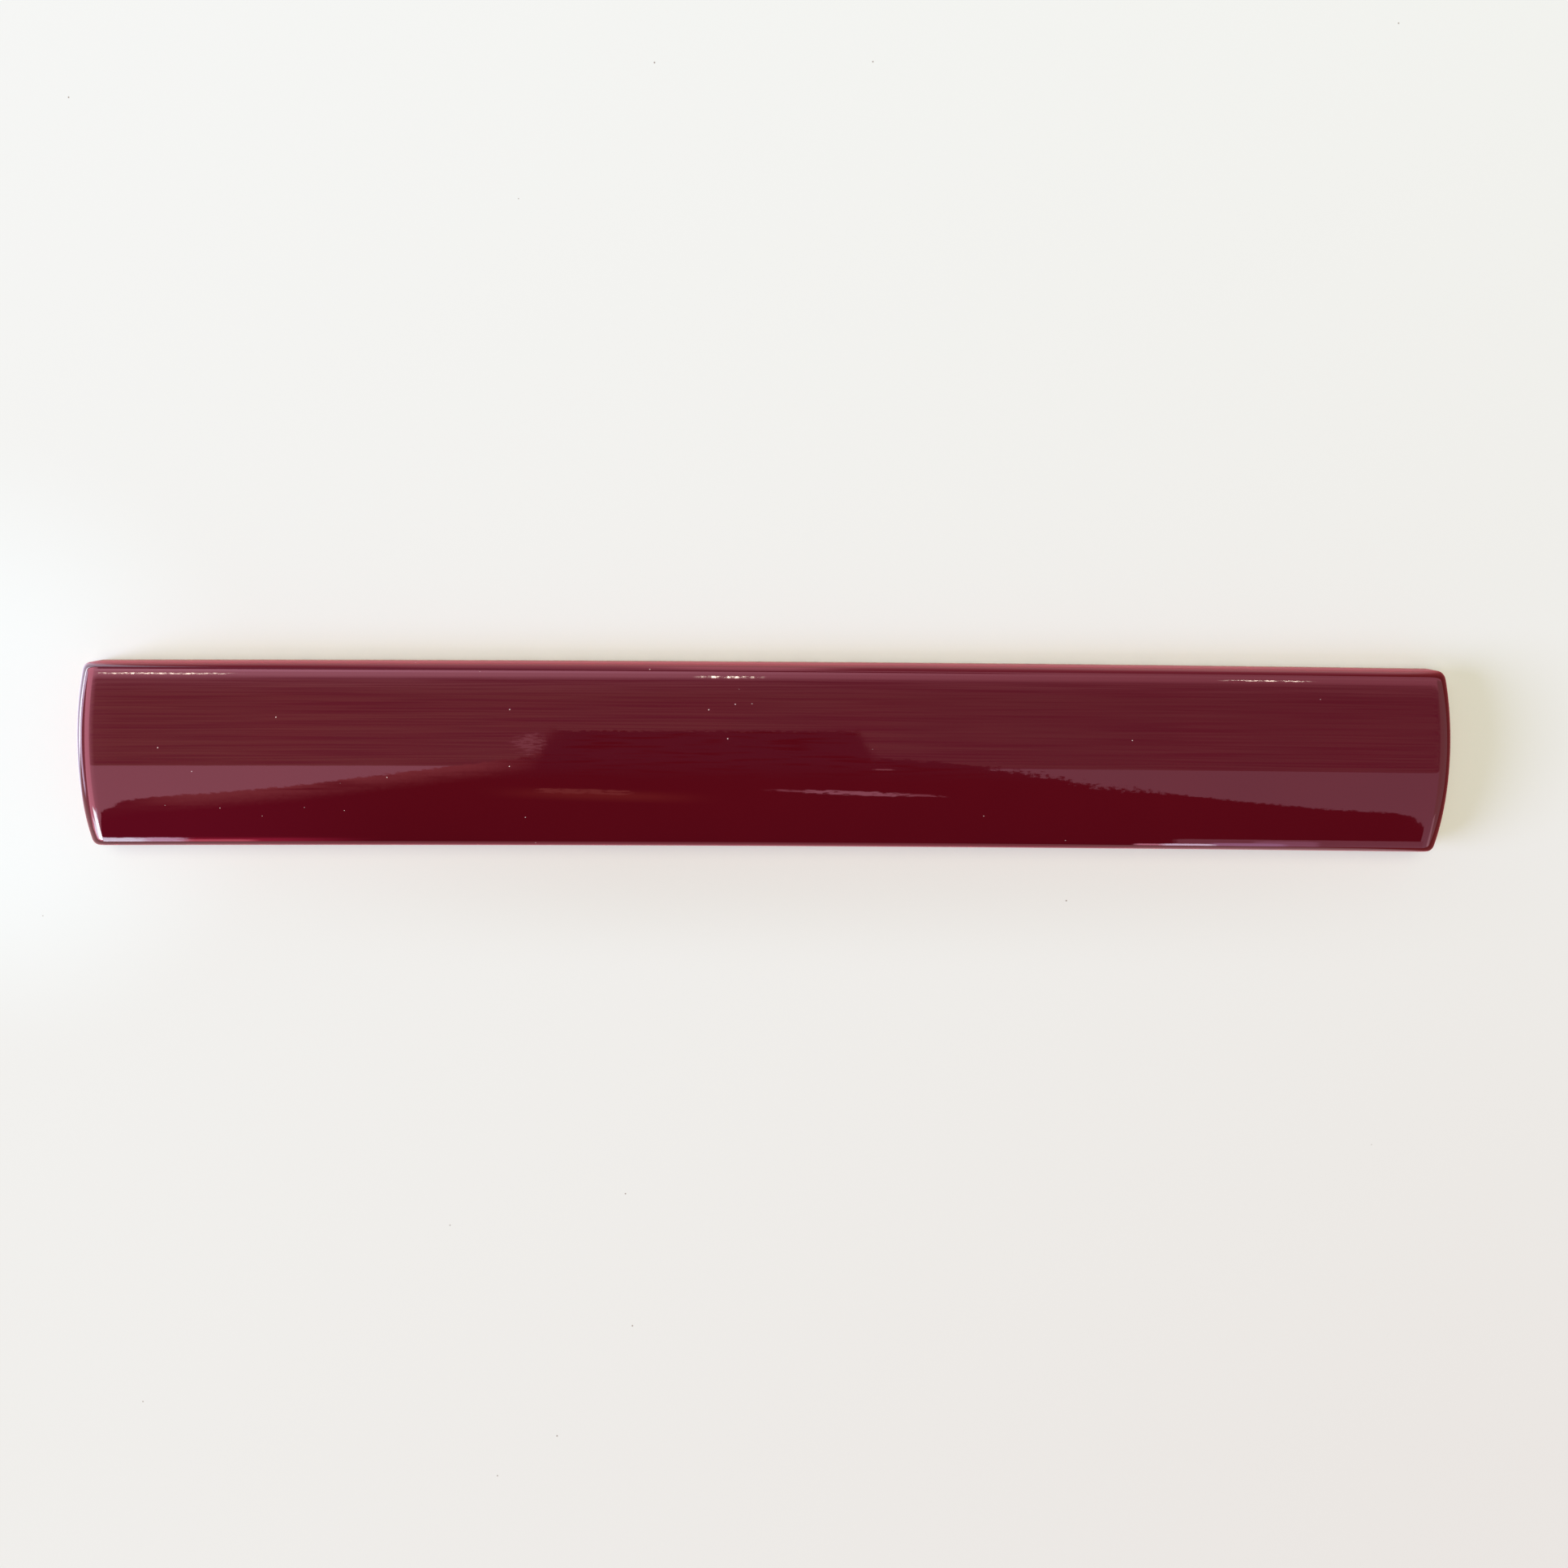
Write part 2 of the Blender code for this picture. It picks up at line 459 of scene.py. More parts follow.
# %% The glaze's colour
GLAZE_DEEP = (0.099, 0.0027, 0.0064, 1.0)
GLAZE_POOLED = (0.090, 0.0024, 0.0060, 1.0)
GLAZE_THIN = (0.34, 0.035, 0.050, 1.0)
PINHOLE_RIM = (0.80, 0.62, 0.60, 1.0)
THIN_SLOPE = (0.28, 0.85)
POOL_SCALE = 120.0
WANDER_SCALE = 260.0
FOOT_HEIGHT = 1.3 * MM
FOOT_WANDER = 0.6 * MM
FOOT_SOFT = 0.04 * MM
FOOT_GRAIN = 0.2 * MM
HOLE_SPACING = 2.6 * MM
HOLE_RADIUS = 0.075 * MM


def new_material(name):
    material = bpy.data.materials.new(name)
    material.use_nodes = True
    tree = material.node_tree
    return material, tree, tree.nodes["Principled BSDF"]


def placed(tree, group, inputs):
    """Places a node group and gives its outputs as wires."""
    node = tree.nodes.new("ShaderNodeGroup")
    node.node_tree = group
    for name, value in inputs.items():
        plug(tree, value, node.inputs[name])
    return {socket.name: Wire(tree, socket) for socket in node.outputs}


glaze, tree, shader = new_material("burgundy_glaze_fired")
at = wire(tree, "ShaderNodeTexCoord", "Object")
across_x, across_y, height = split(tree, at)
upright = wire(tree, "ShaderNodeAttribute", "Fac", attribute_name="upright")
thin = step_up(upright, *THIN_SLOPE)
pooling = wire(tree, "ShaderNodeTexNoise", 0, {"Vector": at, "Scale": POOL_SCALE, "Detail": 1.0})
colour = laid_over(GLAZE_DEEP, GLAZE_POOLED, pooling)
colour = laid_over(colour, GLAZE_THIN, thin)

wander = wire(tree, "ShaderNodeTexNoise", 0, {"Vector": at, "Scale": WANDER_SCALE, "Detail": 2.0})
glaze_line = FOOT_HEIGHT + FOOT_WANDER * (wander - 0.5)
covered = step_up(height - glaze_line, -FOOT_SOFT, FOOT_SOFT)
clay = placed(tree, fired_clay, {"Vector": at, "Grain size": FOOT_GRAIN})
colour = laid_over(clay["Color"], colour, covered)
holes = placed(tree, pinholes, {"Vector": at, "Spacing": HOLE_SPACING, "Radius": HOLE_RADIUS})
colour = laid_over(colour, PINHOLE_RIM, holes["Mask"])
plug(tree, colour, shader.inputs["Base Color"])
print("glaze colour ready")

# %% [markdown]
# Its shine. Uniform values such as the index of refraction are set on the shader itself. Roughness varies,
# so it comes from the masks: thin glaze is less glossy, since little glass covers the clay. Two Bump nodes
# follow. The first is the step at the glaze line. The second is the skin of the glaze, which dries with a
# fine ripple whose crests run across the tile, so that straight mirror images break into small teeth.

# %% The glaze's shine and skin
GLAZE_IOR = 1.55
GLOSSY = 0.022
THIN_ROUGHNESS = 0.50
CLAY_ROUGHNESS = 0.90
HOLE_ROUGHNESS = 0.3
DULL_SLOPE = (0.42, 0.78)
PEEL_LENGTH = 0.55 * MM
PEEL_BREADTH = 1.0 * MM
PEEL_HEIGHT = 0.0004 * MM
GLAZE_STEP = 0.08 * MM

shader.inputs["IOR"].default_value = GLAZE_IOR
dull = step_up(upright, *DULL_SLOPE)
roughness = GLOSSY + dull * (THIN_ROUGHNESS - GLOSSY)
roughness = roughness + holes["Mask"] * HOLE_ROUGHNESS
roughness = CLAY_ROUGHNESS + covered * (roughness - CLAY_ROUGHNESS)
plug(tree, roughness, shader.inputs["Roughness"])

skin_place = vector(tree, across_x / PEEL_LENGTH, across_y / PEEL_BREADTH, height / PEEL_BREADTH)
skin = wire(tree, "ShaderNodeTexNoise", 0, {"Vector": skin_place, "Scale": 1.0, "Detail": 2.0})
stepped = wire(tree, "ShaderNodeBump", 0, {"Height": covered, "Distance": GLAZE_STEP})
skinned = {"Height": skin, "Distance": PEEL_HEIGHT, "Normal": stepped}
plug(tree, wire(tree, "ShaderNodeBump", 0, skinned), shader.inputs["Normal"])
print("glaze ready:", len(tree.nodes), "nodes")

# %% [markdown]
# The back is the same fired clay, dry to the touch, with dark iron specks in place of the glaze's pale ones.

# %% The bare biscuit
IRON_SPECK = (0.16, 0.10, 0.07, 1.0)
BACK_GRAIN = 0.25 * MM
GRAIN_DEPTH = 0.05 * MM
SPECK_SPACING = 1.8 * MM
SPECK_RADIUS = 0.12 * MM

biscuit, tree, shader = new_material("bare_biscuit")
at = wire(tree, "ShaderNodeTexCoord", "Object")
clay = placed(tree, fired_clay, {"Vector": at, "Grain size": BACK_GRAIN})
specks = placed(tree, pinholes, {"Vector": at, "Spacing": SPECK_SPACING, "Radius": SPECK_RADIUS})
plug(tree, laid_over(clay["Color"], IRON_SPECK, specks["Mask"]), shader.inputs["Base Color"])
shader.inputs["Roughness"].default_value = CLAY_ROUGHNESS
grainy = {"Height": clay["Height"], "Distance": GRAIN_DEPTH}
plug(tree, wire(tree, "ShaderNodeBump", 0, grainy), shader.inputs["Normal"])
print("biscuit ready")

# %% [markdown]
# Now the tile itself. The modifier's inputs are set by each socket's identifier before the object is
# evaluated. The evaluated result becomes a plain mesh, and the modifier goes, so nothing live is left on
# the piece. The mesh then rides with the model's root and stands in for its one node.

# %% Make the tile
tile = bpy.data.objects.new("border_tile_glazed", bpy.data.meshes.new("border_tile_glazed"))
bpy.context.scene.collection.objects.link(tile)
modifier = tile.modifiers.new("Moulding", "NODES")
modifier.node_group = moulding
values = {**MOULDING, "Glaze": glaze, "Biscuit": biscuit}
for item in moulding.interface.items_tree:
    if item.in_out == "INPUT":
        modifier[item.identifier] = values[item.name]
made = tile.evaluated_get(bpy.context.evaluated_depsgraph_get())
mesh = bpy.data.meshes.new_from_object(made)
tile.modifiers.remove(modifier)
tile.data = mesh

triangles = sum(len(polygon.vertices) - 2 for polygon in mesh.polygons)
crown_face = max(mesh.polygons, key=lambda polygon: polygon.center.z)
print("tile mesh:", len(mesh.vertices), "points,", triangles, "triangles")
print("materials:", [material.name for material in mesh.materials])
print("the crown faces up, normal z", round(crown_face.normal.z, 3))

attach(tile, "root")
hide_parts("border_tile")

# %% [markdown]
# The camera looks almost straight down on the tile from about 18 cm. Its place and turn were fitted to the
# tile's outline, so the perspective of the ends comes out right.

# %% Camera
CAMERA_PLACE = (-0.95 * MM, 23.90 * MM, 182.30 * MM)
CAMERA_TURN = (math.radians(-8.55), math.radians(-0.82), math.radians(0.45))
SENSOR = 36.0
FOCAL_LENGTH = 37.27

camera_data = bpy.data.cameras.new("camera")
camera_data.sensor_width = SENSOR
camera_data.lens = FOCAL_LENGTH
camera_data.clip_start = 5 * MM
camera = bpy.data.objects.new("camera", camera_data)
camera.location = CAMERA_PLACE
camera.rotation_euler = CAMERA_TURN
bpy.context.scene.collection.objects.link(camera)
bpy.context.scene.camera = camera
print("camera at", [round(value / MM, 1) for value in CAMERA_PLACE], "mm")

# %% [markdown]
# The table is one large pale sheet, and its colour carries painted light and shade. It is a little
# warmer and darker in front and towards the right, a painted shade where less of the side light reaches
# it, and brightest beside the tile's left end, a painted pool of the side light. A painted shadow lies just
# in front of the tile, and a pale line runs just behind it, painted light where its glazed side throws
# light back on the sheet. A few grains of dust use the pinholes group again. All this is painted on Object
# coordinates. Each place on the sheet is given as its edges in millimetres and how soft they are.

# %% The table's colour
TABLE_REACH = 85 * MM
# The four corner colours carry painted shade; the next three are a painted pool of light, painted bounce
# light and a painted shadow.
TABLE_REAR_LEFT = (0.925, 0.930, 0.915, 1.0)
TABLE_REAR_RIGHT = (0.890, 0.895, 0.860, 1.0)
TABLE_FRONT_LEFT = (0.875, 0.860, 0.835, 1.0)
TABLE_FRONT_RIGHT = (0.830, 0.795, 0.765, 1.0)
TABLE_LIT = (0.960, 0.985, 0.985, 1.0)
TABLE_BOUNCE = (1.0, 1.0, 1.0, 1.0)
TABLE_PAINTED_SHADOW = (0.820, 0.795, 0.758, 1.0)
TABLE_ROUGHNESS = 0.9
LIT_PLACE = -90 * MM
LIT_REACH = 38 * MM
LIT_SHARE = 0.3
SHADOW_ALONG = (-40 * MM, 72 * MM, 60 * MM)
SHADOW_ACROSS = (-20 * MM, -6 * MM, 12 * MM)
BOUNCE_ALONG = (-LENGTH / 2, LENGTH / 2, 8 * MM)
BOUNCE_ACROSS = (WIDTH / 2 - 2 * MM, WIDTH / 2 + 0.8 * MM, 1.4 * MM)
DUST = (0.40, 0.34, 0.30, 1.0)
DUST_SPACING = 8 * MM
DUST_RADIUS = 0.12 * MM

table_paper, tree, shader = new_material("pale_table")
on_table = wire(tree, "ShaderNodeTexCoord", "Object")
table_x, table_y, _ = split(tree, on_table)
to_right = clamped(table_x / (2 * TABLE_REACH) + 0.5, 0.0, 1.0)
to_rear = clamped(table_y / (2 * TABLE_REACH) + 0.5, 0.0, 1.0)
# Painted shade: the sheet darkens and warms towards the front and the right, where less side light reaches
# it.
front = laid_over(TABLE_FRONT_LEFT, TABLE_FRONT_RIGHT, to_right)
rear = laid_over(TABLE_REAR_LEFT, TABLE_REAR_RIGHT, to_right)
# Painted light: a pale pool of the side light beside the tile's left end.
from_lit = (squared(table_x - LIT_PLACE) + squared(table_y)).math("SQRT")
lit = 1 - step_up(from_lit, LIT_SHARE * LIT_REACH, LIT_REACH)
# Painted shadow: a soft darker patch on the sheet just in front of the tile.
dim = band(table_x, *SHADOW_ALONG) * band(table_y, *SHADOW_ACROSS)
# Painted light: a pale line just behind the tile, where its glazed side throws light back on the sheet.
bounce = band(table_x, *BOUNCE_ALONG) * band(table_y, *BOUNCE_ACROSS)
sheet = laid_over(laid_over(front, rear, to_rear), TABLE_LIT, lit)
sheet = laid_over(laid_over(sheet, TABLE_PAINTED_SHADOW, dim), TABLE_BOUNCE, bounce)
grains = placed(tree, pinholes, {"Vector": on_table, "Spacing": DUST_SPACING, "Radius": DUST_RADIUS})
plug(tree, laid_over(sheet, DUST, grains["Mask"]), shader.inputs["Base Color"])
shader.inputs["Roughness"].default_value = TABLE_ROUGHNESS
shader.inputs["Specular IOR Level"].default_value = 0.0
print("table colour ready")

# %% [markdown]
# The table in the glaze. Mirror rays see the sheet tinted and dimmer, as it looks in the shade of the dark
# flag that comes further down: paler close to the tile, with a lighter middle, and over bright only beside
# the left end. Light Path's Is Glossy Ray tells these rays from all others, so they get a plain glow in
# place of the lit sheet.

# %% The table in the glaze
TABLE_HALF = 3.0
MIRRORED_NEAR = (1.00, 0.60, 0.65, 1.0)
MIRRORED_FRONT = (0.90, 0.33, 0.40, 1.0)
MIRRORED_FAR = (0.75, 0.17, 0.28, 1.0)
MIRRORED_MIDDLE = (1.45, 0.48, 0.70, 1.0)
MIRRORED_BRIGHT = (2.80, 0.95, 1.25, 1.0)
MIRRORED_RIGHT = (0.45, 0.10, 0.10, 1.0)
MIRRORED_LIT = (2.3, 2.3, 2.9, 1.0)
MIRRORED_BEYOND = (12.0, 12.5, 14.5, 1.0)
MIDDLE_BAND = (-50 * MM, 6 * MM, 24 * MM)
BRIGHT_BAND = (-13 * MM, 7 * MM, 12 * MM)
FRONT_BAND = (-58 * MM, 42 * MM, 24 * MM)
END_BAND = (-6 * MM, 60 * MM, 5 * MM)
FRONT_EDGE = (-4 * MM, 4 * MM)
FAR_EDGE = (17 * MM, 25 * MM)
RIGHT_EDGE = (LENGTH / 2 - 1 * MM, LENGTH / 2 + 3 * MM)
BESIDE_EDGE = (-LENGTH / 2 - 3 * MM, -LENGTH / 2 + 1 * MM)
BEYOND_EDGE = (-LENGTH / 2 - 48 * MM, -LENGTH / 2 - 18 * MM)


def plain_mesh(name, points, faces, material):
    """An object at the origin, made of the given points and faces."""
    data = bpy.data.meshes.new(name)
    data.from_pydata(points, [], faces)
    data.materials.append(material)
    thing = bpy.data.objects.new(name, data)
    bpy.context.scene.collection.objects.link(thing)
    return thing


end_band = band(table_y, *END_BAND)
beside_end = 1 - step_up(table_x, *BESIDE_EDGE)
beyond_end = 1 - step_up(table_x, *BEYOND_EDGE)
is_far = step_up(table_y, *FAR_EDGE)
is_front = band(table_x, *FRONT_BAND) * (1 - step_up(table_y, *FRONT_EDGE))
is_right = step_up(table_x, *RIGHT_EDGE)
mirrored_far = laid_over(MIRRORED_FAR, MIRRORED_MIDDLE, band(table_x, *MIDDLE_BAND))
mirrored_far = laid_over(mirrored_far, MIRRORED_BRIGHT, band(table_x, *BRIGHT_BAND))
mirrored = laid_over(MIRRORED_NEAR, mirrored_far, is_far)
mirrored = laid_over(mirrored, MIRRORED_FRONT, is_front)
mirrored = laid_over(mirrored, MIRRORED_RIGHT, is_right)
mirrored = laid_over(mirrored, MIRRORED_LIT, beside_end * end_band)
mirrored = laid_over(mirrored, MIRRORED_BEYOND, beyond_end * end_band)
mirror_glow = add_node(tree, "ShaderNodeEmission", {"Color": mirrored})
is_mirror_ray = wire(tree, "ShaderNodeLightPath", "Is Glossy Ray")
seen = add_node(tree, "ShaderNodeMixShader", {0: is_mirror_ray})
tree.links.new(shader.outputs[0], seen.inputs[1])
tree.links.new(mirror_glow.outputs[0], seen.inputs[2])
tree.links.new(seen.outputs[0], tree.nodes["Material Output"].inputs["Surface"])

corner_signs = ((-1, -1), (1, -1), (1, 1), (-1, 1))
table_corners = [(x * TABLE_HALF, y * TABLE_HALF, 0.0) for x, y in corner_signs]
table = plain_mesh("table", table_corners, [(0, 1, 2, 3)], table_paper)
print("table laid,", 2 * TABLE_HALF, "m square")

# %% [markdown]
# A shiny glaze shows its surroundings more than itself, so the studio needs something to mirror. A half
# round tent of cards stands over the tile, seen only by mirror rays: it neither lights the table nor casts
# a shadow. Its cards glow, so what the glaze shows of them is painted reflection: panels, walls, bulbs and
# a dark flag.

# %% The tent's shape
TENT_RADIUS = 0.6
TENT_HALF_LENGTH = 1.0
TENT_SIDES = 64


def tent_points():
    for i in range(TENT_SIDES + 1):
        angle = math.pi * (i / TENT_SIDES - 0.5)
        for x in (-TENT_HALF_LENGTH, TENT_HALF_LENGTH):
            yield (x, TENT_RADIUS * math.sin(angle), TENT_RADIUS * math.cos(angle))


tent_corners = list(tent_points())
tent_faces = [(2 * i, 2 * i + 1, 2 * i + 3, 2 * i + 2) for i in range(TENT_SIDES)]
tent_faces.append(tuple(range(0, len(tent_corners), 2)))
tent_faces.append(tuple(range(1, len(tent_corners), 2)))
tent_cards = bpy.data.materials.new("tent_cards")
tent_cards.use_nodes = True
tent_cards.cycles.emission_sampling = "NONE"
tent = plain_mesh("reflection_tent", tent_corners, tent_faces, tent_cards)
tent.visible_camera = False
tent.visible_diffuse = False
tent.visible_shadow = False
tent.visible_transmission = False
print("tent of", len(tent_faces), "faces")

# %% [markdown]
# The front and rear cards. Places on the tent are given as along, in millimetres from the tile's middle,
# and across, in degrees from straight overhead, with the rear positive. A card is then a band of along
# times a band of across. Each of these has two colours, bright at the left and dull at the right.

# %% Front and rear cards
FRONT_CARD = ((2.6, 1.12, 1.52, 1.0), (1.15, 0.62, 0.85, 1.0))
REAR_CARD = ((3.8, 1.60, 2.15, 1.0), (2.1, 0.74, 1.0, 1.0))
REAR_STRIP = ((4.9, 2.15, 2.95, 1.0), (2.3, 0.82, 1.08, 1.0))
LEFT_TO_RIGHT = (-300.0, 240.0)
REAR_CARD_EDGE = (30.0, 48.0)
REAR_STRIP_BAND = (63.0, 76.0, 6.0)

tree = tent_cards.node_tree
tree.nodes.clear()
tent_x, tent_y, tent_z = split(tree, wire(tree, "ShaderNodeTexCoord", "Object"))
across = tent_y.math("ARCTAN2", tent_z) * (180 / math.pi)
along = tent_x / MM
height = tent_z / MM

to_right = step_up(along, *LEFT_TO_RIGHT)
front_card = laid_over(*FRONT_CARD, to_right)
rear_card = laid_over(*REAR_CARD, to_right)
rear_strip = laid_over(*REAR_STRIP, to_right)
colour = laid_over(front_card, rear_card, step_up(across, *REAR_CARD_EDGE))
colour = laid_over(colour, rear_strip, band(across, *REAR_STRIP_BAND))
print("front and rear cards ready")

# %% [markdown]
# The brushed top card. Fine streaks run along it, made by a noise that is stretched along the tile, and
# wider ones vary its tone from brown to purple. In the glaze these streaks show how true and how smooth the
# crown is. The left and right cards then close the tent at its ends. The far left stays dim, so that the
# crown doesn't glare when it is seen from its right end.

# %% Brushed top and end cards
TOP_CARD = ((1.05, 0.46, 0.48, 1.0), (0.60, 0.31, 0.38, 1.0))
TOP_REAR = ((1.75, 0.72, 0.90, 1.0), (1.05, 0.42, 0.55, 1.0))
TOP_SHADE = ((0.42, 0.13, 0.30, 1.0), (0.20, 0.09, 0.22, 1.0))
LEFT_CARD = (6.6, 2.4, 3.3, 1.0)
LEFT_BEYOND = (1.3, 0.50, 0.66, 1.0)
RIGHT_CARD = (0.95, 0.52, 0.58, 1.0)
FINE_STREAK = (80.0, 1.0)
FINE_EDGES = (0.38, 0.66)
FINE_SHARE = 0.55
WIDE_STREAK = (240.0, 4.5)
WIDE_EDGES = (0.36, 0.66)
WIDE_SHARE = 0.3
TOP_REAR_EDGE = (34.0, 50.0)
TOP_FROM = -12.2
TOP_FROM_FADE = 0.3
TOP_TO = 48.6
TOP_TO_FADE = 2.6
LEFT_CARD_EDGE = (-440.0, -300.0)
LEFT_BEYOND_EDGE = (-990.0, -880.0)
RIGHT_CARD_EDGE = (420.0, 620.0)


def stretched_noise(cell, detail, layer):
    """Noise with cells of the given size along (mm) and across (degrees). Each layer is another pattern."""
    spot = vector(tree, along / cell[0], across / cell[1], layer)
    return wire(tree, "ShaderNodeTexNoise", 0, {"Vector": spot, "Scale": 1.0, "Detail": detail})


fine = step_up(stretched_noise(FINE_STREAK, 1.0, 0.0), *FINE_EDGES)
wide = step_up(stretched_noise(WIDE_STREAK, 2.0, 5.0), *WIDE_EDGES)
top_card = laid_over(*TOP_CARD, to_right)
top_rear = laid_over(*TOP_REAR, to_right)
top_shade = laid_over(*TOP_SHADE, to_right)
top_card = laid_over(top_card, top_rear, step_up(across, *TOP_REAR_EDGE))
top_card = laid_over(top_card, top_shade, fine * FINE_SHARE + wide * WIDE_SHARE)
on_top = step_up(across, TOP_FROM - TOP_FROM_FADE, TOP_FROM + TOP_FROM_FADE)
on_top = on_top * (1 - step_up(across, TOP_TO - TOP_TO_FADE, TOP_TO + TOP_TO_FADE))
colour = laid_over(colour, top_card, on_top)
colour = laid_over(colour, LEFT_CARD, 1 - step_up(along, *LEFT_CARD_EDGE))
colour = laid_over(colour, LEFT_BEYOND, 1 - step_up(along, *LEFT_BEYOND_EDGE))
colour = laid_over(colour, RIGHT_CARD, step_up(along, *RIGHT_CARD_EDGE))
print("brushed top and end cards ready")

# %% [markdown]
# The dark flag's outline. A black card in front of a shiny thing keeps the worst glare off it. This one has
# two long shoulders with a block between them, so its upper edge is a curve over along: a Float Curve node
# follows a few points in straight runs. A little noise frays the edge, more at the right shoulder than
# elsewhere, and the block's two upright sides are softer than the rest.

# %% The dark flag's outline
FLAG_OUTLINE = [
    (-345, -66), (-325, -54), (-312, -48.5), (-305, -43), (-298, -37), (-285, -34.2), (-258, -31.5),
    (-223, -27), (-197, -22), (-171, -17), (-140, -11.5), (-110, -6), (-105, -3), (-100, 11.8),
    (45, 12.3), (47, 11), (53, -5.5), (85, -8), (111, -12), (137, -17.6), (159, -24),
    (190, -28), (229, -34), (264, -38.4), (298, -41.0), (306, -42.5), (310, -45.5), (313, -54),
]
ALONG_LOW, ALONG_HIGH = -350.0, 350.0
ACROSS_LOW, ACROSS_HIGH = -70.0, 20.0
FLAG_SPAN = (-340.0, 315.0, 3.0)
FLAG_FRAY = (5.0, 17.0)
FRAY_CELL = (2.2, 2.4)
FRAY_SPAN = (110.0, 186.0, 25.0)
FLAG_SOFTNESS = 0.4
SOFT_SIDES = ((-108, -98), (45, 55))
SIDE_SOFTNESS = 6.0
SIDE_BLEND = 4.0


def outline_curve(value, outline):
    """A height over value, which follows the points of an outline in straight runs."""
    node = add_node(tree, "ShaderNodeFloatCurve")
    curve = node.mapping.curves[0]
    curve.points[0].location = (0.0, 0.0)
    curve.points[1].location = (1.0, 0.0)
    for place, level in outline:
        share = (place - ALONG_LOW) / (ALONG_HIGH - ALONG_LOW)
        level_share = (level - ACROSS_LOW) / (ACROSS_HIGH - ACROSS_LOW)
        curve.points.new(share, level_share).handle_type = "VECTOR"
    node.mapping.update()
    plug(tree, (value - ALONG_LOW) / (ALONG_HIGH - ALONG_LOW), node.inputs["Value"])
    return Wire(tree, node.outputs[0]) * (ACROSS_HIGH - ACROSS_LOW) + ACROSS_LOW


fray_depth = FLAG_FRAY[0] + band(along, *FRAY_SPAN) * (FLAG_FRAY[1] - FLAG_FRAY[0])
fray = (stretched_noise(FRAY_CELL, 2.0, 3.0) - 0.5) * fray_depth
under_edge = outline_curve(along, FLAG_OUTLINE) - across + fray
is_side = sum(band(along, start, stop, SIDE_BLEND) for start, stop in SOFT_SIDES)
softness = FLAG_SOFTNESS + is_side * SIDE_SOFTNESS
is_flag = step_up(under_edge, softness * -1, softness) * band(along, *FLAG_SPAN)
print("flag outline has", len(FLAG_OUTLINE), "points")

# %% [markdown]
# The dark flag's colour. It is nearly black. The block picks up a little blue, in long smears, and the left
# end a little red. Just under its left shoulder the flag catches some red light, which fades away downwards
# and is broken up by a stretched noise.

# %% The dark flag's colour
FLAG_DARK = (0.02, 0.01, 0.03, 1.0)
FLAG_BLOCK = (0.05, 0.07, 0.15, 1.0)
FLAG_LEFT = (0.32, 0.02, 0.10, 1.0)
FLAG_GLOW = (1.55, 0.42, 0.50, 1.0)
FLAG_BLOCK_EDGE = (-24.0, -4.0)
FLAG_LEFT_EDGE = (-280.0, -150.0)
SMEAR_CELL = (30.0, 2.0)
SMEAR_EDGES = (0.5, 0.66)
GLOW_DEPTH = (-1.0, 13.0)
GLOW_SPAN = (-288.0, -112.0, 50.0)
GLOW_CELL = (45.0, 4.0)
GLOW_EDGES = (0.15, 0.55)

glow = (1 - step_up(under_edge, *GLOW_DEPTH)) * band(along, *GLOW_SPAN)
glow = glow * step_up(stretched_noise(GLOW_CELL, 2.0, 11.0), *GLOW_EDGES)
flag = laid_over(FLAG_DARK, FLAG_BLOCK, step_up(across, *FLAG_BLOCK_EDGE))
flag = laid_over(flag, FLAG_DARK, step_up(stretched_noise(SMEAR_CELL, 1.0, 9.0), *SMEAR_EDGES))
flag = laid_over(flag, FLAG_LEFT, 1 - step_up(along, *FLAG_LEFT_EDGE))
flag = laid_over(flag, FLAG_GLOW, glow)
colour = laid_over(colour, flag, is_flag)
print("flag ready")

# %% [markdown]
# Light cards. Each is one entry: where it lies along and across, with how soft its edges are, how far it
# leans, how ragged it is, and its colour. The colours are as bright as the glaze needs, since glass mirrors
# only a twentieth of what falls on it. Rough edges come from a noise that only changes a card's own mask,
# so nothing shows outside it. The three rows of bulbs at the back are broken into dashes by a fine noise.

